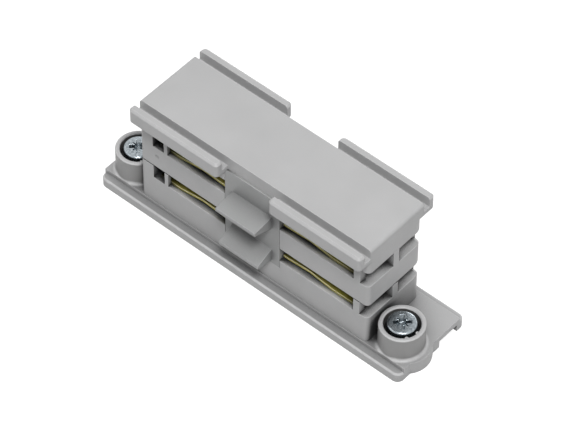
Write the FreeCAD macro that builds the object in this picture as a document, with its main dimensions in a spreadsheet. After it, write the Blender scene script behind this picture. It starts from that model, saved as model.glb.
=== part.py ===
import FreeCAD, Part
import Sketcher
import os

# Joiner for two lengths of three-circuit lighting track, lying on its base plate.
# X runs along the track, Z points to the open side of the track, and the origin
# is the middle of the base plate's underside.

# Driving dimensions in millimetres
DIMENSIONS = (
    # base plate with its two edge rails
    ("base_overhang", 10.15),
    ("base_width", 21.2),
    ("base_corner", 1.6),
    ("flange_height", 2.3),
    ("flange_bevel", 0.35),
    ("pad_width", 17.7),
    ("pad_height", 3.3),
    ("channel_near", 2.3),
    ("channel_width", 5.6),
    ("channel_depth", 1.9),
    # the narrow body that enters the track
    ("body_length", 61.7),
    ("body_width", 17.2),
    ("near_corner", 1.1),
    ("far_corner", 2.5),
    ("block_top", 10.6),
    ("lower_slot", 3.6),
    ("tier_height", 6.05),
    ("upper_slot", 4.1),
    ("edge_round", 0.35),
    ("floor_bevel", 1.2),
    # walls and posts inside the slots
    ("web_thickness", 1.6),
    ("post_depth", 1.7),
    ("post_width", 1.6),
    ("post_from_end", 2.25),
    ("end_wall", 3.65),
    ("window_width", 3.1),
    ("rib_width", 0.9),
    # cover with the four lips
    ("cover_block", 3.5),
    ("plate_width", 16.4),
    ("plate_round", 0.9),
    ("lip_span", 23.4),
    ("lip_floor", 1.1),
    ("lip_gap", 13.6),
    ("lip_corner", 0.9),
    ("lip_edge", 0.45),
    ("groove_depth", 2.45),
    ("groove_width", 1.85),
    # side inserts with the tabs
    ("insert_width", 14.6),
    ("insert_depth", 3.1),
    ("insert_foot", 2.2),
    ("insert_gap", 0.1),
    ("tab_width", 10.6),
    ("tab_root", 3.4),
    ("tab_edge", 0.9),
    ("lower_tab_rise", 2.05),
    ("lower_tab_reach", 4.3),
    ("lower_tab_drop", 1.8),
    ("upper_tab_rise", 2.25),
    ("upper_tab_reach", 5.2),
    ("upper_tab_drop", 0.65),
    # brass contact strips
    ("strip_thickness", 0.5),
    ("strip_setback", 1.1),
    ("strip_inner", 2.4),
    ("strip_end_gap", 0.8),
    ("strip_seat", 0.5),
    ("strip_play", 0.05),
    ("arch_rise", 0.95),
    ("arch_start", 9.0),
    ("arch_crest", 14.5),
    ("arch_foot", 20.5),
    ("strip_bend", 1.5),
    # bosses for the clamp screws
    ("boss_from_end", 5.0),
    ("boss_offset", 3.8),
    ("boss_height", 9.4),
    ("boss_radius", 4.9),
    ("boss_foot", 0.8),
    ("lobe_radius", 5.5),
    ("lobe_offset", 3.3),
    ("left_lobe_reach", 0.5),
    ("right_lobe_reach", 1.3),
    ("recess_radius", 3.9),
    ("recess_floor", 5.8),
    ("rim_bevel", 0.25),
    ("nib_reach", 0.4),
    ("nib_height", 0.6),
    ("first_nib_angle", -37.0),
    ("second_nib_angle", 2.0),
    # clamp screws, their collars and the earth bar
    ("thread_radius", 1.45),
    ("thread_clearance", 0.05),
    ("shank_clearance", 0.25),
    ("screw_length", 6.0),
    ("head_radius", 3.15),
    ("head_height", 2.4),
    ("head_bevel", 0.8),
    ("cross_length", 3.3),
    ("cross_width", 0.8),
    ("cross_depth", 1.4),
    ("screw_travel", 1.0),
    ("collar_thickness", 0.5),
    ("collar_radius", 3.7),
    ("bar_width", 5.0),
    ("bar_thickness", 1.2),
    ("bar_overhang", 3.0),
    ("bar_recess", 2.4),
    ("bar_clearance", 0.05),
    # long screws that hold the three mouldings together
    ("tie_spacing", 8.0),
    ("tie_radius", 1.1),
    ("tie_length", 18.5),
    ("tie_head_radius", 1.9),
    ("tie_head_height", 1.5),
    ("tie_seat", 7.5),
    ("tie_clearance", 0.1),
)

# Heights and lengths that follow from the driving dimensions
LEVELS = (
    ("tier_bottom", "block_top + lower_slot"),
    ("tier_top", "block_top + lower_slot + tier_height"),
    ("cover_bottom", "block_top + lower_slot + tier_height + upper_slot"),
    ("lip_bottom", "block_top + lower_slot + tier_height + upper_slot + cover_block"),
    ("head_seat", "recess_floor + screw_travel + collar_thickness"),
    ("base_length", "body_length + 2 * base_overhang"),
    ("boss_spacing", "body_length + 2 * base_overhang - 2 * boss_from_end"),
)

doc = FreeCAD.newDocument("track_connector")
sheet = doc.addObject("Spreadsheet::Sheet", "dims")
# A number below TINY counts as zero, and lengths that differ by less than SAME count as equal
TINY = 1e-4
SAME = 0.01


def fill_sheet():
    """Writes the driving dimensions and the levels into the sheet, one row each."""
    row = 0
    for alias, number in DIMENSIONS:
        row += 1
        sheet.set(f"A{row}", alias)
        sheet.set(f"B{row}", str(number))
        sheet.setAlias(f"B{row}", alias)
    doc.recompute()
    for alias, formula in LEVELS:
        row += 1
        sheet.set(f"A{row}", alias)
        sheet.set(f"B{row}", "=" + formula)
        sheet.setAlias(f"B{row}", alias)
        doc.recompute()


def size(expression):
    """The present value of an expression over the sheet."""
    result = sheet.evalExpression(expression)
    return float(getattr(result, "Value", result))


def new_body(name):
    body = doc.addObject("PartDesign::Body", name)
    body.Label = name
    return body


def new_sketch(body, name, role, offset=None):
    """A sketch on one of the body's own origin planes, moved along its normal by an expression."""
    sketch = body.newObject("Sketcher::SketchObject", name)
    plane = next(item for item in body.Origin.OriginFeatures if item.Role == role)
    sketch.AttachmentSupport = (plane, "")
    sketch.MapMode = "FlatFace"
    if offset is not None:
        sketch.setExpression(".AttachmentOffset.Base.z", offset)
    return sketch


def pin(sketch, edge, point, kind, expression):
    """Holds one coordinate of a sketch point at the value of an expression."""
    number = size(expression)
    if abs(number) < TINY:
        axis = -2 if kind == "DistanceX" else -1
        sketch.addConstraint(Sketcher.Constraint("PointOnObject", edge, point, axis))
        return
    index = sketch.addConstraint(Sketcher.Constraint(kind, -1, 1, edge, point, number))
    sketch.setExpression(f"Constraints[{index}]", expression)


def add_outline(sketch, corners):
    """A closed outline of straight edges through corners given as pairs of expressions."""
    points = [FreeCAD.Vector(size(x), size(y), 0) for x, y in corners]
    first = sketch.GeometryCount
    count = len(points)
    for number in range(count):
        sketch.addGeometry(Part.LineSegment(points[number], points[(number + 1) % count]))
    for number, (x, y) in enumerate(corners):
        edge = first + number
        following = first + (number + 1) % count
        sketch.addConstraint(Sketcher.Constraint("Coincident", edge, 2, following, 1))
        pin(sketch, edge, 1, "DistanceX", x)
        pin(sketch, edge, 1, "DistanceY", y)


def add_rectangle(sketch, left, right, low, high):
    add_outline(sketch, ((left, low), (right, low), (right, high), (left, high)))


def add_centred_rectangle(sketch, length, width):
    add_rectangle(sketch, f"-{length} / 2", f"{length} / 2", f"-{width} / 2", f"{width} / 2")


def add_circle(sketch, x, y, radius):
    centre = FreeCAD.Vector(size(x), size(y), 0)
    edge = sketch.addGeometry(Part.Circle(centre, FreeCAD.Vector(0, 0, 1), size(radius)))
    pin(sketch, edge, 3, "DistanceX", x)
    pin(sketch, edge, 3, "DistanceY", y)
    index = sketch.addConstraint(Sketcher.Constraint("Radius", edge, size(radius)))
    sketch.setExpression(f"Constraints[{index}]", radius)


def pad(body, sketch, name, length, downwards=False, symmetric=False):
    feature = body.newObject("PartDesign::Pad", name)
    feature.Profile = sketch
    feature.setExpression("Length", length)
    feature.Reversed = downwards
    if symmetric:
        feature.SideType = "Symmetric"
    doc.recompute()
    return feature


def pocket(body, sketch, name, depth, upwards=False):
    """Cuts the sketch into the body and makes sure that something was cut."""
    before = body.Shape.Volume
    feature = body.newObject("PartDesign::Pocket", name)
    feature.Profile = sketch
    feature.setExpression("Length", depth)
    feature.Reversed = upwards
    doc.recompute()
    if not body.Shape.Volume < before - TINY:
        raise RuntimeError(f"{body.Label}: {name} cuts nothing")
    return feature


def find_edges(body, name, wanted):
    """The body's last feature, and the names of its edges for which wanted(edge) holds."""
    doc.recompute()
    edges = [f"Edge{number}" for number, edge in enumerate(body.Tip.Shape.Edges, 1) if wanted(edge)]
    if not edges:
        raise RuntimeError(f"{body.Label}: {name} finds no edge")
    return (body.Tip, edges)


def round_edges(body, name, radius, wanted):
    base = find_edges(body, name, wanted)
    fillet = body.newObject("PartDesign::Fillet", name)
    fillet.Base = base
    fillet.setExpression("Radius", radius)
    doc.recompute()
    return fillet


def bevel_edges(body, name, width, wanted):
    base = find_edges(body, name, wanted)
    chamfer = body.newObject("PartDesign::Chamfer", name)
    chamfer.Base = base
    chamfer.setExpression("Size", width)
    doc.recompute()
    return chamfer


def near(first, second):
    return abs(first - second) < SAME


def is_level(edge, height):
    """Whether the whole edge lies at one height."""
    box = edge.BoundBox
    return near(box.ZMin, height) and near(box.ZMax, height)


def is_ring(edge, height, radius):
    return is_level(edge, height) and hasattr(edge.Curve, "Radius") and near(edge.Curve.Radius, radius)


def is_upright(edge, x, y):
    """Whether the edge is vertical and stands at plus or minus x and plus or minus y."""
    box = edge.BoundBox
    if box.XLength > SAME or box.YLength > SAME:
        return False
    return near(abs(box.XMin), x) and near(abs(box.YMin), y)


def runs_along_x_at(edge, y):
    """Whether the edge runs along X at plus or minus y."""
    box = edge.BoundBox
    return box.YLength < SAME and box.XLength > SAME and near(abs(box.YMin), y)


def is_far(edge):
    return edge.BoundBox.YMin > 0


def round_corners(body, name):
    """Rounds the body's four upright corners, more on the far side than on the near one."""
    x = size("dims.body_length / 2")
    y = size("dims.body_width / 2")
    round_edges(body, f"near_{name}", "dims.near_corner", lambda edge: is_upright(edge, x, y) and not is_far(edge))
    round_edges(body, f"far_{name}", "dims.far_corner", lambda edge: is_upright(edge, x, y) and is_far(edge))


def screw_places():
    """Names and sheet expressions of the two clamp screws' axes."""
    return (
        ("left", "-dims.boss_spacing / 2", "-dims.boss_offset"),
        ("right", "dims.boss_spacing / 2", "-dims.boss_offset"),
    )


def add_slot_walls(body, floor, height):
    """Bevel of a slot's far edge, then the end wall, web, posts and ribs that carry the next moulding over it."""
    end = "dims.body_length / 2"
    side = "dims.body_width / 2"
    inner = "(dims.body_width / 2 - dims.post_depth)"
    wall_end = f"-({end} - dims.end_wall)"
    rib_start = f"-({end} - dims.end_wall - dims.window_width)"
    rib_end = f"-({end} - dims.end_wall - dims.window_width - dims.rib_width)"

    level = size(floor)
    far_side = size(side)
    bevel_edges(body, "far_floor_bevel", "dims.floor_bevel",
                lambda edge: is_level(edge, level) and runs_along_x_at(edge, far_side) and is_far(edge))

    wall = new_sketch(body, "end_wall_sketch", "XY_Plane", f"{floor} - dims.floor_bevel")
    add_rectangle(wall, f"-{end}", wall_end, f"-{side}", side)
    pad(body, wall, "end_wall", f"{height} + dims.floor_bevel")

    web = new_sketch(body, "web_sketch", "XY_Plane", floor)
    add_rectangle(web, f"-{end}", end, "-dims.web_thickness / 2", "dims.web_thickness / 2")
    pad(body, web, "web", height)

    round_corners(body, "corners")

    posts = new_sketch(body, "posts_sketch", "XY_Plane", f"{floor} - dims.floor_bevel")
    post_right = f"{end} - dims.post_from_end"
    post_left = f"{end} - dims.post_from_end - dims.post_width"
    beside_strip = f"({side} - dims.strip_setback + dims.insert_gap)"
    add_rectangle(posts, post_left, post_right, f"-{side}", f"-{inner}")
    add_rectangle(posts, post_left, post_right, inner, side)
    add_rectangle(posts, rib_start, rib_end, f"-{side}", f"-{beside_strip}")
    add_rectangle(posts, rib_start, rib_end, beside_strip, side)
    pad(body, posts, "posts", f"{height} + dims.floor_bevel")


def add_strip_seat(body, floor):
    """Raised seats beside the web, on which the middles of two contact strips lie."""
    seat = new_sketch(body, "strip_seat_sketch", "XY_Plane", floor)
    inside = "dims.body_width / 2 - dims.insert_depth - dims.insert_gap"
    add_rectangle(seat, "-dims.insert_width / 2", "dims.insert_width / 2", f"-({inside})", inside)
    pad(body, seat, "strip_seat", "dims.strip_seat")


def add_strip_clamp(body, underside, slot):
    """Block under a moulding that presses the strips' middles onto their seats."""
    clamp = new_sketch(body, "strip_clamp_sketch", "XY_Plane", underside)
    inside = "dims.body_width / 2 - dims.insert_depth - dims.insert_gap"
    half = "dims.insert_width / 2"
    height = f"{slot} - dims.strip_seat - dims.strip_thickness - dims.strip_play"
    add_rectangle(clamp, f"-{half}", half, "dims.web_thickness / 2 + dims.insert_gap", inside)
    add_rectangle(clamp, f"-{half}", half, f"-({inside})", "-(dims.web_thickness / 2 + dims.insert_gap)")
    return pad(body, clamp, "strip_clamp", height, downwards=True)


def cut_insert_seats(body, low, height):
    """Notches in both sides that take the side inserts."""
    seats = new_sketch(body, "insert_seats_sketch", "XY_Plane", low)
    half = "dims.insert_width / 2 + dims.insert_gap"
    inside = "dims.body_width / 2 - dims.insert_depth - dims.insert_gap"
    outside = "dims.body_width / 2 + dims.insert_gap"
    add_rectangle(seats, f"-({half})", half, inside, outside)
    add_rectangle(seats, f"-({half})", half, f"-({outside})", f"-({inside})")
    pocket(body, seats, "insert_seats", height, upwards=True)


def cut_tie_holes(body, low, height):
    """Two clearance holes for the long tie screws."""
    holes = new_sketch(body, "tie_holes_sketch", "XY_Plane", low)
    for x in ("-dims.tie_spacing / 2", "dims.tie_spacing / 2"):
        add_circle(holes, x, "0", "dims.tie_radius + dims.tie_clearance")
    pocket(body, holes, "tie_holes", height, upwards=True)


def make_base_housing():
    """Base plate, lower block, bosses for the clamp screws and the walls of the lower slots."""
    body = new_body("base_housing")

    flange = new_sketch(body, "flange_sketch", "XY_Plane")
    add_centred_rectangle(flange, "dims.base_length", "dims.base_width")
    pad(body, flange, "flange", "dims.flange_height")
    x = size("dims.base_length / 2")
    y = size("dims.base_width / 2")
    round_edges(body, "flange_corners", "dims.base_corner", lambda edge: is_upright(edge, x, y))
    top = size("dims.flange_height")
    bevel_edges(body, "flange_edge", "dims.flange_bevel", lambda edge: is_level(edge, top))

    raised = new_sketch(body, "raised_pad_sketch", "XY_Plane")
    add_centred_rectangle(raised, "dims.base_length", "dims.pad_width")
    pad(body, raised, "raised_pad", "dims.pad_height")

    lobes = new_sketch(body, "lobes_sketch", "XY_Plane")
    for sign, reach in (("-", "dims.left_lobe_reach"), ("", "dims.right_lobe_reach")):
        add_circle(lobes, f"{sign}(dims.base_length / 2 + {reach} - dims.lobe_radius)",
                   "-dims.lobe_offset", "dims.lobe_radius")
    pad(body, lobes, "lobes", "dims.pad_height")

    bosses = new_sketch(body, "bosses_sketch", "XY_Plane")
    for _, x, y in screw_places():
        add_circle(bosses, x, y, "dims.boss_radius")
    pad(body, bosses, "bosses", "dims.boss_height")
    foot = size("dims.pad_height")
    outer = size("dims.boss_radius")
    round_edges(body, "boss_feet", "dims.boss_foot", lambda edge: is_ring(edge, foot, outer))

    block = new_sketch(body, "lower_block_sketch", "XY_Plane")
    add_centred_rectangle(block, "dims.body_length", "dims.body_width")
    pad(body, block, "lower_block", "dims.block_top")
    add_slot_walls(body, "dims.block_top", "dims.lower_slot")
    add_strip_seat(body, "dims.block_top")

    foot_of_insert = "dims.block_top - dims.insert_foot"
    cut_insert_seats(body, foot_of_insert, "dims.insert_foot + dims.lower_slot")

    recesses = new_sketch(body, "head_recesses_sketch", "XY_Plane", "dims.recess_floor")
    for _, x, y in screw_places():
        add_circle(recesses, x, y, "dims.recess_radius")
    pocket(body, recesses, "head_recesses", "dims.boss_height - dims.recess_floor", upwards=True)
    shanks = new_sketch(body, "shank_holes_sketch", "XY_Plane")
    for _, x, y in screw_places():
        add_circle(shanks, x, y, "dims.thread_radius + dims.shank_clearance")
    pocket(body, shanks, "shank_holes", "dims.recess_floor", upwards=True)
    rim = size("dims.boss_height")
    inner = size("dims.recess_radius")
    bevel_edges(body, "boss_rims", "dims.rim_bevel",
                lambda edge: is_ring(edge, rim, outer) or is_ring(edge, rim, inner))

    nibs = new_sketch(body, "nibs_sketch", "XY_Plane", "dims.boss_height - dims.nib_height - dims.rim_bevel")
    for _, x, y in screw_places():
        for angle in ("dims.first_nib_angle", "dims.second_nib_angle"):
            add_circle(nibs, f"{x} + dims.recess_radius * cos({angle})",
                       f"{y} + dims.recess_radius * sin({angle})", "dims.nib_reach")
    pad(body, nibs, "nibs", "dims.nib_height")

    channel = new_sketch(body, "channel_sketch", "XY_Plane")
    half = "(dims.base_length / 2 + dims.base_corner)"
    add_rectangle(channel, f"-{half}", half, "dims.channel_near", "dims.channel_near + dims.channel_width")
    pocket(body, channel, "underside_channel", "dims.channel_depth", upwards=True)

    bar = new_sketch(body, "bar_recess_sketch", "XY_Plane")
    reach = "dims.boss_spacing / 2 + dims.bar_overhang + dims.bar_clearance"
    width = "(dims.bar_width / 2 + dims.bar_clearance)"
    add_rectangle(bar, f"-({reach})", reach, f"-dims.boss_offset - {width}", f"-dims.boss_offset + {width}")
    pocket(body, bar, "bar_recess", "dims.bar_recess", upwards=True)

    cut_tie_holes(body, "dims.tie_seat - dims.tie_head_height",
                  "dims.block_top + dims.strip_seat - dims.tie_seat + dims.tie_head_height + dims.lower_slot")
    heads = new_sketch(body, "tie_heads_sketch", "XY_Plane")
    for x in ("-dims.tie_spacing / 2", "dims.tie_spacing / 2"):
        add_circle(heads, x, "0", "dims.tie_head_radius + dims.tie_clearance")
    pocket(body, heads, "tie_counterbores", "dims.tie_seat", upwards=True)
    return body


def make_middle_housing():
    """Middle tier between the two levels of slots, with the walls of the upper slots."""
    body = new_body("middle_housing")
    tier = new_sketch(body, "tier_sketch", "XY_Plane", "dims.tier_bottom")
    add_centred_rectangle(tier, "dims.body_length", "dims.body_width")
    pad(body, tier, "tier", "dims.tier_height")
    add_slot_walls(body, "dims.tier_top", "dims.upper_slot")
    low = size("dims.tier_bottom")
    round_edges(body, "tier_lower_edge", "dims.edge_round", lambda edge: is_level(edge, low))
    add_strip_seat(body, "dims.tier_top")
    add_strip_clamp(body, "dims.tier_bottom", "dims.lower_slot")
    cut_insert_seats(body, "dims.tier_bottom - dims.insert_gap",
                     "dims.tier_height + dims.upper_slot + 2 * dims.insert_gap")
    cut_tie_holes(body, "dims.tier_bottom - dims.lower_slot",
                  "dims.lower_slot + dims.tier_height + dims.upper_slot + dims.insert_gap")
    return body


def make_top_cover():
    """Cover plate with a groove and two lips along each side."""
    body = new_body("top_cover")
    block = new_sketch(body, "cover_block_sketch", "XY_Plane", "dims.cover_bottom")
    add_centred_rectangle(block, "dims.body_length", "dims.body_width")
    pad(body, block, "cover_block", "dims.cover_block")
    round_corners(body, "corners")

    plate = new_sketch(body, "plate_sketch", "XY_Plane", "dims.lip_bottom")
    add_centred_rectangle(plate, "dims.body_length", "dims.lip_span")
    pad(body, plate, "plate", "dims.lip_floor + dims.groove_depth")

    gaps = new_sketch(body, "lip_gaps_sketch", "XY_Plane", "dims.lip_bottom")
    half_gap = "dims.lip_gap / 2"
    wall = "dims.plate_width / 2"
    past = "(dims.lip_span / 2 + dims.lip_corner)"
    add_rectangle(gaps, f"-{half_gap}", half_gap, wall, past)
    add_rectangle(gaps, f"-{half_gap}", half_gap, f"-{past}", f"-{wall}")
    pocket(body, gaps, "lip_gaps", "dims.lip_floor + dims.groove_depth", upwards=True)

    grooves = new_sketch(body, "grooves_sketch", "XY_Plane", "dims.lip_bottom + dims.lip_floor")
    past_end = "(dims.body_length / 2 + dims.plate_round)"
    outer = "(dims.plate_width / 2 + dims.groove_width)"
    add_rectangle(grooves, f"-{past_end}", past_end, wall, outer)
    add_rectangle(grooves, f"-{past_end}", past_end, f"-{outer}", f"-{wall}")
    pocket(body, grooves, "grooves", "dims.groove_depth", upwards=True)

    end = size("dims.body_length / 2")
    lip = size("dims.lip_span / 2")
    gap = size(half_gap)
    round_edges(body, "lip_corners", "dims.lip_corner",
                lambda edge: is_upright(edge, end, lip) or is_upright(edge, gap, lip))
    top = size("dims.lip_bottom + dims.lip_floor + dims.groove_depth")
    bevel_edges(body, "lip_edges", "dims.lip_edge",
                lambda edge: is_level(edge, top) and runs_along_x_at(edge, lip))
    plate = size("dims.plate_width")
    round_edges(body, "plate_ends", "dims.plate_round",
                lambda edge: is_level(edge, top) and near(abs(edge.BoundBox.XMin), end)
                and edge.BoundBox.XLength < SAME and near(edge.BoundBox.YLength, plate))

    add_strip_clamp(body, "dims.cover_bottom", "dims.upper_slot")
    cut_insert_seats(body, "dims.cover_bottom - dims.insert_gap", "dims.cover_block + dims.insert_gap")
    cut_tie_holes(body, "dims.cover_bottom - dims.upper_slot", "dims.upper_slot + dims.cover_block")
    return body


def make_side_insert(name, side):
    """Insulating insert in the middle of one side, with its two wedge tabs."""
    body = new_body(name)
    foot = "dims.block_top - dims.insert_foot"
    plug = new_sketch(body, "plug_sketch", "XY_Plane", foot)
    inner = f"{side} * (dims.body_width / 2 - dims.insert_depth)"
    outer = f"{side} * dims.body_width / 2"
    add_rectangle(plug, "-dims.insert_width / 2", "dims.insert_width / 2", inner, outer)
    pad(body, plug, "plug", f"dims.lip_bottom - ({foot})")
    for level, floor in (("lower", "dims.block_top"), ("upper", "dims.tier_top")):
        top = f"{floor} + dims.{level}_tab_rise"
        tip = f"{side} * (dims.body_width / 2 + dims.{level}_tab_reach)"
        profile = new_sketch(body, f"{level}_tab_sketch", "YZ_Plane")
        add_outline(profile, (
            (inner, top),
            (outer, top),
            (tip, f"{top} - dims.{level}_tab_drop"),
            (tip, f"{top} - dims.{level}_tab_drop - dims.tab_edge"),
            (outer, f"{top} - dims.tab_root"),
            (inner, f"{top} - dims.tab_root"),
        ))
        pad(body, profile, f"{level}_tab", "dims.tab_width", symmetric=True)
    return body


def make_contact_strip(name, side, floor):
    """Brass strip through one slot: flat feet, an arched spring on each half and a clamped middle."""
    body = new_body(name)
    low = floor
    seat = f"{floor} + dims.strip_seat"
    crest = f"{floor} + dims.arch_rise"
    thick = "dims.strip_thickness"
    tip = "(dims.body_length / 2 - dims.post_from_end - dims.post_width - dims.strip_end_gap)"
    stations = (
        ("dims.arch_start", seat),
        ("dims.arch_crest", crest),
        ("dims.arch_foot", low),
        (tip, low),
    )
    under = [(f"-{x}", z) for x, z in reversed(stations)] + [(x, z) for x, z in stations]
    over = [(x, f"{z} + {thick}") for x, z in reversed(under)]
    profile = new_sketch(body, "strip_profile", "XZ_Plane")
    add_outline(profile, under + over)
    inner = "dims.strip_inner"
    outer = "(dims.body_width / 2 - dims.strip_setback)"
    pad(body, profile, "strip", f"2 * {outer}", symmetric=True)
    bends = [size(x) for x, _ in stations[:3]]
    round_edges(body, "bends", "dims.strip_bend",
                lambda edge: edge.BoundBox.XLength < SAME and edge.BoundBox.ZLength < SAME
                and any(near(abs(edge.BoundBox.XMin), x) for x in bends))

    trim = new_sketch(body, "trim_sketch", "XY_Plane", floor)
    past = "(dims.body_length / 2)"
    far = f"({outer} + dims.insert_gap)"
    add_rectangle(trim, f"-{past}", past, f"{side} * {inner}", f"-{side} * {far}")
    pocket(body, trim, "trim", "2 * (dims.arch_rise + dims.strip_thickness)", upwards=True)

    waist = new_sketch(body, "waist_sketch", "XY_Plane", floor)
    half = "(dims.insert_width / 2 + 2 * dims.insert_gap)"
    inside = "(dims.body_width / 2 - dims.insert_depth - dims.insert_gap)"
    add_rectangle(waist, f"-{half}", half, f"{side} * {inside}", f"{side} * {far}")
    pocket(body, waist, "waist", "2 * (dims.arch_rise + dims.strip_thickness)", upwards=True)
    return body


def make_earth_bar():
    """Tapped bar in the underside that both clamp screws engage."""
    body = new_body("earth_bar")
    low = "dims.bar_recess - dims.bar_thickness"
    outline = new_sketch(body, "bar_sketch", "XY_Plane", low)
    reach = "dims.boss_spacing / 2 + dims.bar_overhang"
    add_rectangle(outline, f"-({reach})", reach,
                  "-dims.boss_offset - dims.bar_width / 2", "-dims.boss_offset + dims.bar_width / 2")
    pad(body, outline, "bar", "dims.bar_thickness")
    taps = new_sketch(body, "taps_sketch", "XY_Plane", low)
    for _, x, y in screw_places():
        add_circle(taps, x, y, "dims.thread_radius + dims.thread_clearance")
    pocket(body, taps, "taps", "dims.bar_thickness", upwards=True)
    return body


def make_clamp_screw(name, x, y):
    """Pan-head machine screw with a cross recess."""
    body = new_body(name)
    head = new_sketch(body, "head_sketch", "XY_Plane", "dims.head_seat")
    add_circle(head, x, y, "dims.head_radius")
    pad(body, head, "head", "dims.head_height")
    top = size("dims.head_seat + dims.head_height")
    bevel_edges(body, "head_edge", "dims.head_bevel", lambda edge: is_level(edge, top))
    shank = new_sketch(body, "shank_sketch", "XY_Plane", "dims.head_seat")
    add_circle(shank, x, y, "dims.thread_radius")
    pad(body, shank, "shank", "dims.screw_length", downwards=True)
    cross = new_sketch(body, "cross_sketch", "XY_Plane", "dims.head_seat + dims.head_height")
    arm = "dims.cross_length / 2"
    half = "dims.cross_width / 2"
    steps = ((arm, half), (half, half), (half, arm), (f"-{half}", arm), (f"-{half}", half), (f"-{arm}", half),
             (f"-{arm}", f"-{half}"), (f"-{half}", f"-{half}"), (f"-{half}", f"-{arm}"), (half, f"-{arm}"),
             (half, f"-{half}"), (arm, f"-{half}"))
    add_outline(cross, [(f"{x} + {dx}", f"{y} + {dy}") for dx, dy in steps])
    pocket(body, cross, "cross_recess", "dims.cross_depth")
    return body


def make_screw_collar(name, x, y):
    """Plastic collar that rides under a clamp screw's head and keeps it in its boss."""
    body = new_body(name)
    ring = new_sketch(body, "ring_sketch", "XY_Plane", "dims.head_seat - dims.collar_thickness")
    add_circle(ring, x, y, "dims.collar_radius")
    add_circle(ring, x, y, "dims.thread_radius + dims.thread_clearance")
    pad(body, ring, "ring", "dims.collar_thickness")
    return body


def make_tie_screws():
    """Two long thread-forming screws from the underside into the cover, as separate solids."""
    parts = []
    for number in (1, 2):
        sign = "-" if number == 1 else ""
        shaft = doc.addObject("Part::Cylinder", f"tie_shaft_{number}")
        shaft.setExpression("Radius", "dims.tie_radius")
        shaft.setExpression("Height", "dims.tie_length + dims.tie_head_height / 2")
        shaft.setExpression(".Placement.Base.z", "dims.tie_seat - dims.tie_head_height / 2")
        head = doc.addObject("Part::Cylinder", f"tie_head_{number}")
        head.setExpression("Radius", "dims.tie_head_radius")
        head.setExpression("Height", "dims.tie_head_height")
        head.setExpression(".Placement.Base.z", "dims.tie_seat - dims.tie_head_height")
        for solid in (shaft, head):
            solid.setExpression(".Placement.Base.x", f"{sign}dims.tie_spacing / 2")
        screw = doc.addObject("Part::Fuse", f"tie_screw_{number}")
        screw.Base = shaft
        screw.Tool = head
        parts.append(screw)
    group = doc.addObject("Part::Compound", "tie_screws")
    group.Label = "tie_screws"
    group.Links = parts
    doc.recompute()
    return group


def check(parts):
    """Stops on any failed object, and on any part without a sound shape."""
    for item in doc.Objects:
        if "Invalid" in item.State or "Error" in item.State:
            raise RuntimeError(f"{item.Name} failed: {item.State}")
    for part in parts:
        if part.Shape.isNull() or not part.Shape.isValid():
            raise RuntimeError(f"{part.Label} has no valid shape")


def main():
    fill_sheet()
    parts = [make_base_housing(), make_middle_housing(), make_top_cover()]
    for place, side in (("near", "-1"), ("far", "1")):
        parts.append(make_side_insert(f"side_insert_{place}", side))
        parts.append(make_contact_strip(f"contact_strip_lower_{place}", side, "dims.block_top"))
        parts.append(make_contact_strip(f"contact_strip_upper_{place}", side, "dims.tier_top"))
    parts.append(make_earth_bar())
    for place, x, y in screw_places():
        parts.append(make_clamp_screw(f"clamp_screw_{place}", x, y))
        parts.append(make_screw_collar(f"screw_collar_{place}", x, y))
    parts.append(make_tie_screws())
    doc.recompute()
    check(parts)
    os.makedirs("parts", exist_ok=True)
    for part in parts:
        part.Shape.exportStep(f"parts/{part.Label}.step")
        box = part.Shape.BoundBox
        print(f"{part.Label}: {len(part.Shape.Solids)} solid, {part.Shape.Volume:.1f} mm3,"
              f" x {box.XMin:.2f}..{box.XMax:.2f} y {box.YMin:.2f}..{box.YMax:.2f} z {box.ZMin:.2f}..{box.ZMax:.2f}")


main()
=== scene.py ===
import math

import bmesh
import bpy
from mathutils import Matrix, Vector


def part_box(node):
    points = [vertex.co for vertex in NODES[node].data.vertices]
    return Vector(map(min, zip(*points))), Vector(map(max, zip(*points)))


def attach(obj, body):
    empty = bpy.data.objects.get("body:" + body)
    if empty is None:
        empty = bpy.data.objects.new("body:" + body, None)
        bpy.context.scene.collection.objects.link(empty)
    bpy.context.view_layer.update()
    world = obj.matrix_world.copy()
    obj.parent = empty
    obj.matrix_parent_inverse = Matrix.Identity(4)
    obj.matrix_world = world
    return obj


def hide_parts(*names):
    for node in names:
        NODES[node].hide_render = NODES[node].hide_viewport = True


MM = 0.001
WHITE = (1.0, 1.0, 1.0, 1.0)

# Places on the object; a pair gives where a change begins and ends along one axis
BOSSES = ((-36.0 * MM, -3.8 * MM), (36.0 * MM, -3.8 * MM))
BOSS_RADIUS = 4.9 * MM
EJECTOR_MARK = (-26.1 * MM, -8.6 * MM, 17.6 * MM)
ABOVE_PLATE = (8.0 * MM, 10.0 * MM)
LEFT_WINDOWS = (-24.8 * MM, -23.0 * MM)
RIGHT_END = (26.5 * MM, 27.5 * MM)
STRIP_LEFT_END = (-24.5 * MM, -20.5 * MM)
STRIP_RIGHT_END = (22.5 * MM, 27.0 * MM)

# Clamp screws
HEAD_HEIGHT = 2.4 * MM
HEAD_CLEARANCE = 0.01 * MM
HEAD_STEPS = 72
CROSS_TURN = math.radians(42.0)
CROSS_SPAN = 4.1 * MM
CROSS_WIDTH = 0.9 * MM
CROSS_DEPTH = 1.5 * MM
THREAD_PITCH = 0.5 * MM
THREAD_CREST = 1.44 * MM
THREAD_DEPTH = 0.27 * MM
SHARP_DEGREES = 28

# Camera, with the eye's place in units of the fit to the photograph's straight edges
WIDTH_PX = 572
FOCAL_PX = 3738.0
SENSOR_MM = 36.0
CAMERA_DEGREES = (40.76, 48.915, 0.415)
FIT_UNIT = 0.2056 * MM
EYE_RIGHT = 6.35
EYE_UP = 33.76
EYE_BACK = 3768.0
EYE_RAISED = 6.8

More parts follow.
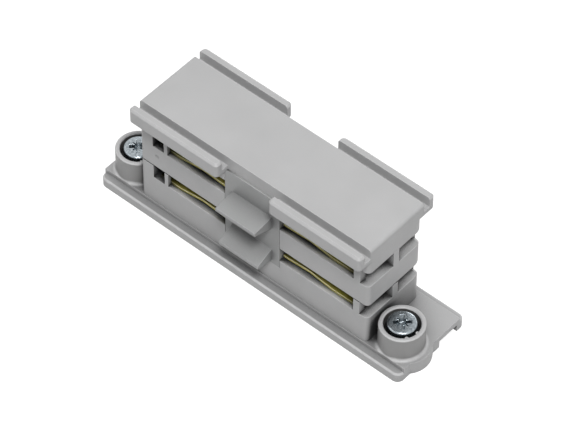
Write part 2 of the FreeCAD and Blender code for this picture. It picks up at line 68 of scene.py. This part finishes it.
# Tones: the plastics' grey levels and tints, and the metals' colours
HOUSING_LEVEL = 0.44
INSERT_LEVEL = 0.36
# Near black collar level: painted shade in the gap round each screw head
COLLAR_SHADE_LEVEL = 0.012
HOUSING_TINT = (0.995, 0.995, 1.0)
INSERT_TINT = (0.99, 1.0, 1.0)
NO_TINT = (1.0, 1.0, 1.0)
# Warm tint of the painted shade on the sides of the posts
BOSS_SHADE_TINT = (1.02, 1.0, 0.97)
# The olive colours paint a dark reflection in random patches
STRIP_WARM = (0.62, 0.54, 0.13, 1.0)
STRIP_OLIVE = (0.42, 0.39, 0.06, 1.0)
BAR_WARM = (0.70, 0.58, 0.26, 1.0)
BAR_OLIVE = (0.60, 0.50, 0.20, 1.0)
# Painted highlight on the brass edges
BRASS_EDGE_HIGHLIGHT = (1.0, 0.96, 0.78, 1.0)
BRASS_UNLIT = (0.012, 0.011, 0.004, 1.0)
ZINC_DARK = (0.14, 0.165, 0.185, 1.0)
ZINC_LIGHT = (0.56, 0.61, 0.64, 1.0)

# Most of a noise's values lie in this range
MID_NOISE = (0.3, 0.7)

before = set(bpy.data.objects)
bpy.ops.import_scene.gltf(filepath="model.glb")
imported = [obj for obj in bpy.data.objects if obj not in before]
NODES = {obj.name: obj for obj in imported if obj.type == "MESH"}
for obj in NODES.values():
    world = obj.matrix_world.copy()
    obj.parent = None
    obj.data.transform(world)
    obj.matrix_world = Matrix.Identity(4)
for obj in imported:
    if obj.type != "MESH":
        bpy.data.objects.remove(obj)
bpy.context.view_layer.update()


# Materials
class Tree:
    """A material's node tree with short calls for the nodes used here."""

    def __init__(self, name):
        self.material = bpy.data.materials.new(name)
        self.material.use_nodes = True
        self.nodes = self.material.node_tree.nodes
        self.links = self.material.node_tree.links
        self.shader = self.nodes["Principled BSDF"]
        self.place = self.nodes.new("ShaderNodeTexCoord").outputs["Object"]

    def put(self, value, socket):
        """Links an output, or sets a constant."""
        if hasattr(value, "is_linked"):
            self.links.new(value, socket)
        else:
            socket.default_value = value

    def math(self, kind, first, second=0.0):
        node = self.nodes.new("ShaderNodeMath")
        node.operation = kind
        self.put(first, node.inputs[0])
        self.put(second, node.inputs[1])
        return node.outputs[0]

    def times(self, first, second):
        return self.math("MULTIPLY", first, second)

    def spread(self, value, low, high, to_low, to_high):
        """Maps the range from low to high to another one, and holds its ends outside it."""
        node = self.nodes.new("ShaderNodeMapRange")
        self.put(value, node.inputs["Value"])
        for name, number in (("From Min", low), ("From Max", high), ("To Min", to_low), ("To Max", to_high)):
            node.inputs[name].default_value = number
        return node.outputs["Result"]

    def rise(self, value, low, high):
        """0 up to the low value, rising to 1 at the high one."""
        return self.spread(value, low, high, 0.0, 1.0)

    def fall(self, value, low, high):
        """1 up to the low value, falling to 0 at the high one."""
        return self.spread(value, low, high, 1.0, 0.0)

    def blend(self, share, first, second):
        node = self.nodes.new("ShaderNodeMix")
        node.data_type = "RGBA"
        self.put(share, node.inputs["Factor"])
        self.put(first, node.inputs[6])
        self.put(second, node.inputs[7])
        return node.outputs[2]

    def noise(self, scale, detail=3.0, roughness=0.5, place=None):
        node = self.nodes.new("ShaderNodeTexNoise")
        node.inputs["Scale"].default_value = scale
        node.inputs["Detail"].default_value = detail
        node.inputs["Roughness"].default_value = roughness
        self.put(place or self.place, node.inputs["Vector"])
        return node.outputs["Fac"]

    def stretched(self, x, y, z):
        """Object coordinates scaled along each axis, for grain that runs one way."""
        node = self.nodes.new("ShaderNodeVectorMath")
        node.operation = "MULTIPLY"
        self.put(self.place, node.inputs[0])
        node.inputs[1].default_value = (x, y, z)
        return node.outputs[0]

    def axes(self):
        node = self.nodes.new("ShaderNodeSeparateXYZ")
        self.put(self.place, node.inputs[0])
        return node.outputs

    def distance_to_spot(self, spot):
        node = self.nodes.new("ShaderNodeVectorMath")
        node.operation = "DISTANCE"
        self.put(self.place, node.inputs[0])
        node.inputs[1].default_value = spot
        return node.outputs["Value"]

    def distance_to_axis(self, axis_xy):
        """Distance from an upright axis."""
        x, y, _ = self.axes()
        dx = self.math("SUBTRACT", x, axis_xy[0])
        dy = self.math("SUBTRACT", y, axis_xy[1])
        return self.math("SQRT", self.math("ADD", self.times(dx, dx), self.times(dy, dy)))

    def levelness(self):
        """How level a face is, from 0 on an upright face to 1 on a level one."""
        normal = self.nodes.new("ShaderNodeSeparateXYZ")
        self.links.new(self.nodes.new("ShaderNodeNewGeometry").outputs["Normal"], normal.inputs[0])
        return self.math("ABSOLUTE", normal.outputs[2])

    def bevelled(self):
        """1 on the roundings and bevels between level and upright faces, and 0 on the faces themselves."""
        level = self.levelness()
        upright = self.math("SQRT", self.math("SUBTRACT", 1.0, self.times(level, level)))
        return self.rise(self.math("MINIMUM", level, upright), 0.12, 0.5)

    def rounded(self, radius):
        """A normal rounded at the edges, and how close an edge is, from 0 to 1."""
        bevel = self.nodes.new("ShaderNodeBevel")
        bevel.samples = 6
        bevel.inputs["Radius"].default_value = radius
        flat = self.nodes.new("ShaderNodeNewGeometry").outputs["Normal"]
        dot = self.nodes.new("ShaderNodeVectorMath")
        dot.operation = "DOT_PRODUCT"
        self.links.new(bevel.outputs[0], dot.inputs[0])
        self.links.new(flat, dot.inputs[1])
        return bevel.outputs[0], self.spread(dot.outputs["Value"], 1.0, 0.86, 0.0, 1.0)

    def openness(self, reach, own=False):
        """How open a place is, from 0 deep in a slot to 1 on an outer face; own leaves other pieces out."""
        node = self.nodes.new("ShaderNodeAmbientOcclusion")
        node.samples = 8
        node.only_local = own
        node.inputs["Distance"].default_value = reach
        return node.outputs["AO"]

    def bump(self, height, distance, strength, normal):
        node = self.nodes.new("ShaderNodeBump")
        node.inputs["Strength"].default_value = strength
        node.inputs["Distance"].default_value = distance
        self.put(height, node.inputs["Height"])
        self.links.new(normal, node.inputs["Normal"])
        return node.outputs[0]

    def finish(self, color, rough, normal, metallic):
        self.put(color, self.shader.inputs["Base Color"])
        self.put(rough, self.shader.inputs["Roughness"])
        self.put(metallic, self.shader.inputs["Metallic"])
        self.links.new(normal, self.shader.inputs["Normal"])
        return self.material


def grey(level, tint):
    return tuple(level * share for share in tint) + (1.0,)


def moulded_plastic(name, level, tint, texture=1.0, slot_shade=0.05, corner_shade=0.26, bevel_highlight=0.5, dimple=None,
                    slotted=False, posts=()):
    """Satin moulded plastic: fine spark-eroded texture, slow cloudiness, painted highlights on the edges and
    painted shade in hollows.

    The slot and corner shares are the shares of its tone left as painted shade deep in slots and in wide
    inner corners. A slotted piece gets deeper painted shade in its slots, and most in the small windows at
    the left end.
    Painted shade also darkens the sides of posts.
    """
    edge_radius = 0.24 * MM
    slot_reach = 4.5 * MM
    corner_reach = 14.0 * MM
    tree = Tree(name)
    clouds = tree.noise(90.0, 2.0)
    speckle = tree.noise(5200.0, 2.0)
    sheen_noise = tree.noise(700.0, 4.0, 0.6)
    rounded, edge = tree.rounded(edge_radius)
    openness = tree.openness(slot_reach)

    cloudy = tree.blend(tree.rise(clouds, *MID_NOISE), grey(level * 0.96, tint), grey(level * 1.03, tint))
    flecked = tree.blend(tree.spread(speckle, 0.58, 0.75, 0.0, 0.10), cloudy, grey(level * 0.72, tint))

    # Painted highlight: outer edges and bevels are lightened, mottled by noise, except deep in slots.
    any_edge = tree.math("MAXIMUM", edge, tree.times(tree.bevelled(), bevel_highlight))
    outer_edge = tree.times(any_edge, tree.rise(openness, 0.42, 0.64))
    edge_highlight_share = tree.times(outer_edge, tree.spread(sheen_noise, 0.3, 0.65, 0.35, 0.95))
    edge_highlit = tree.blend(edge_highlight_share, flecked, grey(min(1.0, level * 1.55), tint))

    # Painted shade: deeper in the slots above the plate, most in the windows at the left end and at the right
    # end.
    if slotted:
        x, _, z = tree.axes()
        windows = tree.spread(x, *LEFT_WINDOWS, 0.22, 0.10)
        ends = tree.spread(x, *RIGHT_END, 0.0, 0.08)
        extra_slot_shade = tree.times(tree.rise(z, *ABOVE_PLATE), tree.math("ADD", windows, ends))
        openness = tree.math("SUBTRACT", openness, extra_slot_shade)
    # Painted shade: wide inner corners and deep slots are darkened by how enclosed they are.
    wide_share = tree.rise(tree.openness(corner_reach, True), 0.34, 0.92)
    shaded = tree.blend(wide_share, grey(level * corner_shade, tint), edge_highlit)
    color = tree.blend(tree.rise(openness, 0.33, 0.52), grey(level * slot_shade, tint), shaded)
    # Painted shade on the upright sides of the posts.
    for post in posts:
        near_post = tree.fall(tree.distance_to_axis(post), BOSS_RADIUS, BOSS_RADIUS + 0.3 * MM)
        side = tree.times(near_post, tree.fall(tree.levelness(), 0.1, 0.6))
        color = tree.blend(tree.times(side, 0.5), color, grey(level * 0.35, BOSS_SHADE_TINT))

    rough = tree.spread(sheen_noise, *MID_NOISE, 0.50, 0.38)
    fine = tree.bump(speckle, 0.012 * MM * texture, 0.7, rounded)
    surface = tree.bump(tree.noise(260.0, 2.0), 0.03 * MM, 0.3, fine)
    # The ejector mark is sunk by a bump, and its colour is darkened with painted shade.
    if dimple:
        sunk = tree.fall(tree.distance_to_spot(dimple), 0.35 * MM, 0.6 * MM)
        color = tree.blend(tree.times(sunk, 0.35), color, grey(level * 0.4, tint))
        surface = tree.bump(tree.math("SUBTRACT", 1.0, sunk), 0.15 * MM, 1.0, surface)
    tree.shader.inputs["Specular IOR Level"].default_value = 0.4
    return tree.finish(color, rough, surface, 0.0)


def rolled_brass(name, warm, olive):
    """Rolled brass: grain along the strip, random olive patches as a painted dark reflection, painted edge
    highlights, and painted shade at the ends and in hollows.
    """
    edge_radius = 0.20 * MM
    slot_reach = 4.0 * MM
    tree = Tree(name)
    grain = tree.noise(1.0, 3.0, 0.55, tree.stretched(300.0, 9000.0, 9000.0))
    olive_noise = tree.noise(420.0, 4.0, 0.6)
    rounded, edge = tree.rounded(edge_radius)
    # Painted reflection: random olive patches darken the brass as its reflection of the slot would.
    olive_patched = tree.blend(tree.rise(olive_noise, 0.35, 0.68), warm, olive)
    # Painted highlight: cream along the edges, with less metalness there so that they look brighter.
    highlit_edges = tree.blend(tree.times(edge, 0.95), olive_patched, BRASS_EDGE_HIGHLIGHT)
    # Painted shade: the brass goes near black in hollows and towards the strip ends.
    x = tree.axes()[0]
    between_ends = tree.times(tree.rise(x, *STRIP_LEFT_END), tree.fall(x, *STRIP_RIGHT_END))
    lit = tree.times(tree.rise(tree.openness(slot_reach), 0.20, 0.42), between_ends)
    color = tree.blend(lit, BRASS_UNLIT, highlit_edges)
    rough = tree.spread(grain, 0.25, 0.75, 0.22, 0.38)
    normal = tree.bump(grain, 0.01 * MM, 0.5, rounded)
    return tree.finish(color, rough, normal, tree.spread(edge, 0.0, 0.6, 0.5, 0.1))


def zinc_plate(name, axis_xy):
    """Bright zinc on a turned screw: lathe rings about the axis and faint blue-grey mottling."""
    ring_spacing = 0.11 * MM
    edge_radius = 0.12 * MM
    tree = Tree(name)
    rings = tree.math("SINE", tree.times(tree.distance_to_axis(axis_xy), 2 * math.pi / ring_spacing))
    mottle = tree.noise(2300.0, 5.0, 0.7)
    rounded, _ = tree.rounded(edge_radius)
    color = tree.blend(tree.rise(mottle, *MID_NOISE), ZINC_DARK, ZINC_LIGHT)
    rough = tree.spread(mottle, *MID_NOISE, 0.34, 0.20)
    turned = tree.bump(rings, 0.003 * MM, 0.35, rounded)
    normal = tree.bump(mottle, 0.045 * MM, 0.7, turned)
    return tree.finish(color, rough, normal, 1.0)


def dress(node, material):
    """Gives a CAD node its one material."""
    obj = NODES[node]
    obj.data.materials.clear()
    obj.data.materials.append(material)


# Shapes made here
def from_bmesh(name, mesh, material):
    data = bpy.data.meshes.new(name)
    mesh.to_mesh(data)
    mesh.free()
    data.materials.append(material)
    obj = bpy.data.objects.new(name, data)
    bpy.context.scene.collection.objects.link(obj)
    return obj


def add_ring(mesh, axis_xy, height, radii):
    """Corners round an upright axis at one height, one for each radius."""
    ring = []
    for number, radius in enumerate(radii):
        angle = 2 * math.pi * number / len(radii)
        ring.append(mesh.verts.new((axis_xy[0] + radius * math.cos(angle),
                                    axis_xy[1] + radius * math.sin(angle), height)))
    return ring


def join_rings(mesh, rings, steps):
    """Faces between each ring and the next; a ring may be a single corner on the axis."""
    for low, high in zip(rings, rings[1:]):
        for number in range(steps):
            after = (number + 1) % steps
            corners = [low[number % len(low)], low[after % len(low)], high[after % len(high)],
                       high[number % len(high)]]
            unique = list(dict.fromkeys(corners))
            if len(unique) > 2:
                mesh.faces.new(unique)


def revolved(profile, steps, axis_xy):
    """A closed surface of revolution about an upright axis, from pairs of radius and height."""
    mesh = bmesh.new()
    rings = []
    for radius, height in profile:
        if radius < 1e-7:
            rings.append([mesh.verts.new((axis_xy[0], axis_xy[1], height))])
        else:
            rings.append(add_ring(mesh, axis_xy, height, [radius] * steps))
    join_rings(mesh, rings, steps)
    bmesh.ops.recalc_face_normals(mesh, faces=mesh.faces)
    return mesh


def pan_profile(radius, seat, top):
    """Radius and height round a pan head: small lower edge, rounded shoulder and an almost flat top."""
    lower_edge = 0.15 * MM
    shoulder_width = 0.45 * MM
    shoulder_height = 0.50 * MM
    shoulder_start = top - 0.60 * MM
    shoulder_steps = 10
    profile = [(0.0, seat), (radius - lower_edge, seat), (radius, seat + lower_edge),
               (radius, shoulder_start)]
    for step in range(1, shoulder_steps + 1):
        turn = math.radians(90.0 * step / shoulder_steps)
        profile.append((radius - shoulder_width * (1 - math.cos(turn)),
                        shoulder_start + shoulder_height * math.sin(turn)))
    for share, drop in ((0.72, 0.05), (0.4, 0.02), (0.0, 0.005)):
        profile.append((radius * share, top - drop * MM))
    return profile


def add_wedge(mesh, axis_xy, angle, upper, lower):
    """A tapered bar across an upright axis, from half length, half width and height of its two ends."""
    turn = Matrix.Rotation(angle, 3, "Z")
    corners = []
    for half_length, half_width, height in (lower, upper):
        for sx, sy in ((-1, -1), (1, -1), (1, 1), (-1, 1)):
            spot = turn @ Vector((sx * half_length, sy * half_width, 0.0))
            corners.append(mesh.verts.new((axis_xy[0] + spot.x, axis_xy[1] + spot.y, height)))
    for face in ((0, 3, 2, 1), (4, 5, 6, 7), (0, 1, 5, 4), (1, 2, 6, 5), (2, 3, 7, 6), (3, 0, 4, 7)):
        mesh.faces.new([corners[index] for index in face])


def driver_tool(axis_xy, top):
    """The cutter of a cross recess: two tapered wings and, between them, four shallow ticks."""
    over = top + 0.3 * MM
    wing_top = (CROSS_SPAN / 2 + 0.12 * MM, CROSS_WIDTH / 2 + 0.03 * MM, over)
    wing_foot = (CROSS_SPAN * 0.28, CROSS_WIDTH * 0.36, top - CROSS_DEPTH)
    tick_top = (CROSS_SPAN * 0.44, CROSS_WIDTH * 0.22, over)
    tick_foot = (CROSS_SPAN * 0.30, CROSS_WIDTH * 0.16, top - CROSS_DEPTH * 0.45)
    mesh = bmesh.new()
    for eighth in (0, 2):
        add_wedge(mesh, axis_xy, CROSS_TURN + eighth * math.pi / 4, wing_top, wing_foot)
    for eighth in (1, 3):
        add_wedge(mesh, axis_xy, CROSS_TURN + eighth * math.pi / 4, tick_top, tick_foot)
    return mesh


def cut(target, tool_mesh, name):
    """Takes the tool out of the target and applies it."""
    tool = from_bmesh(name, tool_mesh, target.data.materials[0])
    boolean = target.modifiers.new("cut", "BOOLEAN")
    boolean.operation = "DIFFERENCE"
    boolean.solver = "EXACT"
    boolean.use_self = True
    boolean.object = tool
    graph = bpy.context.evaluated_depsgraph_get()
    data = bpy.data.meshes.new_from_object(target.evaluated_get(graph))
    target.modifiers.clear()
    target.data = data
    bpy.data.objects.remove(tool)


def add_shank(screw, axis_xy, tip, seat):
    """Adds a shank whose ridge climbs one pitch a turn and runs out at the tip and under the head."""
    steps = 48
    rows_per_pitch = 8
    rows = int((seat - tip) / THREAD_PITCH * rows_per_pitch)
    mesh = bmesh.new()
    mesh.from_mesh(screw.data)
    rings = []
    for row in range(rows + 1):
        height = tip + (seat - tip) * row / rows
        above_tip = height - tip
        full = max(0.0, min(1.0, above_tip / (0.35 * MM) + 0.25, (seat - height) / (0.4 * MM)))
        taper = 0.35 * MM * max(0.0, 1 - above_tip / (0.3 * MM))
        radii = []
        for number in range(steps):
            phase = (above_tip / THREAD_PITCH - number / steps) % 1.0
            dip = abs(phase - 0.5) * 2
            radii.append(THREAD_CREST - THREAD_DEPTH * dip * full - taper)
        rings.append(add_ring(mesh, axis_xy, height, radii))
    join_rings(mesh, rings, steps)
    mesh.faces.new(list(reversed(rings[0])))
    bmesh.ops.recalc_face_normals(mesh, faces=mesh.faces)
    mesh.to_mesh(screw.data)
    mesh.free()


def smooth_by_angle(obj, degrees):
    """Smooth shading with edges sharper than the angle kept sharp."""
    limit = math.radians(degrees)
    mesh = bmesh.new()
    mesh.from_mesh(obj.data)
    for face in mesh.faces:
        face.smooth = True
    for edge in mesh.edges:
        edge.smooth = len(edge.link_faces) != 2 or edge.calc_face_angle(0.0) < limit
    mesh.to_mesh(obj.data)
    mesh.free()


def threaded_screw(place):
    """Pan-head machine screw in the place and size of its CAD node, with its thread cut."""
    node = f"clamp_screw_{place}"
    low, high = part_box(node)
    centre = ((low.x + high.x) / 2, (low.y + high.y) / 2)
    head = (high.x - low.x) / 2 - HEAD_CLEARANCE
    top = high.z
    seat = top - HEAD_HEIGHT
    steel = zinc_plate(f"zinc_{place}", centre)
    head_mesh = revolved(pan_profile(head, seat, top), HEAD_STEPS, centre)
    screw = from_bmesh(f"threaded_screw_{place}", head_mesh, steel)
    cut(screw, driver_tool(centre, top), "driver_cutter")
    add_shank(screw, centre, low.z, seat)
    smooth_by_angle(screw, SHARP_DEGREES)
    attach(screw, f"screw_{place}")
    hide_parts(node)


# Camera and studio
def set_up_camera():
    """Camera fitted to the straight edges of the object in the photograph."""
    turn, lift, roll = (math.radians(angle) for angle in CAMERA_DEGREES)
    back = Vector((math.sin(turn) * math.cos(lift), -math.cos(turn) * math.cos(lift), math.sin(lift)))
    level = Vector((math.cos(turn), math.sin(turn), 0.0))
    upright = back.cross(level)
    right = level * math.cos(roll) + upright * math.sin(roll)
    up = upright * math.cos(roll) - level * math.sin(roll)
    eye = (right * EYE_RIGHT + up * EYE_UP + back * EYE_BACK + Vector((0.0, 0.0, EYE_RAISED))) * FIT_UNIT
    data = bpy.data.cameras.new("camera")
    data.sensor_fit = "HORIZONTAL"
    data.sensor_width = SENSOR_MM
    data.lens = SENSOR_MM * FOCAL_PX / WIDTH_PX
    data.clip_start = 0.01
    data.clip_end = 10.0
    camera = bpy.data.objects.new("camera", data)
    camera.matrix_world = Matrix((
        (right.x, up.x, back.x, eye.x),
        (right.y, up.y, back.y, eye.y),
        (right.z, up.z, back.z, eye.z),
        (0.0, 0.0, 0.0, 1.0),
    ))
    bpy.context.scene.collection.objects.link(camera)
    bpy.context.scene.camera = camera


def area_light(name, spot, size, watts):
    """A round lamp that points at the middle of the object."""
    target = Vector((0.0, 0.0, 0.015))
    data = bpy.data.lights.new(name, "AREA")
    data.shape = "DISK"
    data.size = size
    data.energy = watts
    lamp = bpy.data.objects.new(name, data)
    lamp.location = spot
    lamp.rotation_euler = (target - Vector(spot)).to_track_quat("-Z", "Y").to_euler()
    bpy.context.scene.collection.objects.link(lamp)


def background_share(nodes, links):
    """1 for what the camera, a reflection or a refraction sees directly, otherwise 0."""
    path = nodes.new("ShaderNodeLightPath")
    share = path.outputs["Is Camera Ray"]
    for name in ("Is Glossy Ray", "Is Transmission Ray"):
        larger = nodes.new("ShaderNodeMath")
        larger.operation = "MAXIMUM"
        links.new(share, larger.inputs[0])
        links.new(path.outputs[name], larger.inputs[1])
        share = larger.outputs[0]
    return share


def set_up_world():
    """Dim surroundings as light, and white ones where they are seen."""
    world = bpy.data.worlds.new("studio")
    bpy.context.scene.world = world
    world.use_nodes = True
    nodes = world.node_tree.nodes
    links = world.node_tree.links
    nodes.clear()
    mix = nodes.new("ShaderNodeMixShader")
    links.new(background_share(nodes, links), mix.inputs[0])
    for slot, strength in ((1, 0.33), (2, 1.0)):
        light = nodes.new("ShaderNodeBackground")
        light.inputs["Color"].default_value = WHITE
        light.inputs["Strength"].default_value = strength
        links.new(light.outputs[0], mix.inputs[slot])
    output = nodes.new("ShaderNodeOutputWorld")
    links.new(mix.outputs[0], output.inputs["Surface"])


def set_up_floor():
    """A floor that glows white where it is seen, so that only the shadow shows on it."""
    mesh = bmesh.new()
    bmesh.ops.create_grid(mesh, x_segments=1, y_segments=1, size=1.5)
    paint = Tree("floor_paint")
    share = background_share(paint.nodes, paint.links)
    paint.put(paint.times(share, 0.85), paint.shader.inputs["Emission Strength"])
    paint.shader.inputs["Emission Color"].default_value = WHITE
    paint.shader.inputs["Roughness"].default_value = 0.9
    paint.shader.inputs["Base Color"].default_value = (0.32, 0.32, 0.32, 1.0)
    floor = from_bmesh("floor", mesh, paint.material)
    floor.location.z = -0.02 * MM


def dress_housing():
    """Materials of the three grey mouldings and the two inserts."""
    dress("base_housing", moulded_plastic("housing_plastic", HOUSING_LEVEL, HOUSING_TINT, slotted=True,
                                          posts=BOSSES))
    dress("middle_housing", moulded_plastic("middle_plastic", HOUSING_LEVEL, HOUSING_TINT, slotted=True,
                                            dimple=EJECTOR_MARK))
    dress("top_cover", moulded_plastic("cover_plastic", HOUSING_LEVEL, HOUSING_TINT, slot_shade=0.95, corner_shade=1.0,
                                       bevel_highlight=0.15))
    insert = moulded_plastic("insert_plastic", INSERT_LEVEL, INSERT_TINT, texture=1.4, slot_shade=0.2, bevel_highlight=0.0)
    for side in ("near", "far"):
        dress(f"side_insert_{side}", insert)


def dress_metal():
    """Materials of the contact strips, the earth bar and the tie screws."""
    brass = rolled_brass("contact_brass", STRIP_WARM, STRIP_OLIVE)
    for side in ("near", "far"):
        for level in ("lower", "upper"):
            dress(f"contact_strip_{level}_{side}", brass)
    dress("earth_bar", rolled_brass("bar_brass", BAR_WARM, BAR_OLIVE))
    dress("tie_screws", zinc_plate("tie_zinc", (0.0, 0.0)))


def main():
    set_up_camera()
    set_up_world()
    set_up_floor()
    area_light("key", (0.42, -0.42, 1.0), 0.3, 10.2)
    area_light("fill", (-0.7, -0.5, 0.7), 0.6, 0.8)
    area_light("rear", (-0.45, 0.90, 0.32), 0.6, 3.2)
    view = bpy.context.scene.view_settings
    view.view_transform = "Standard"

    dress_housing()
    dress_metal()
    # The near black collars paint the shade in the gap round each screw head.
    gap_shade_black = moulded_plastic("collar_plastic", COLLAR_SHADE_LEVEL, NO_TINT)
    for place in ("left", "right"):
        dress(f"screw_collar_{place}", gap_shade_black)
        threaded_screw(place)


main()
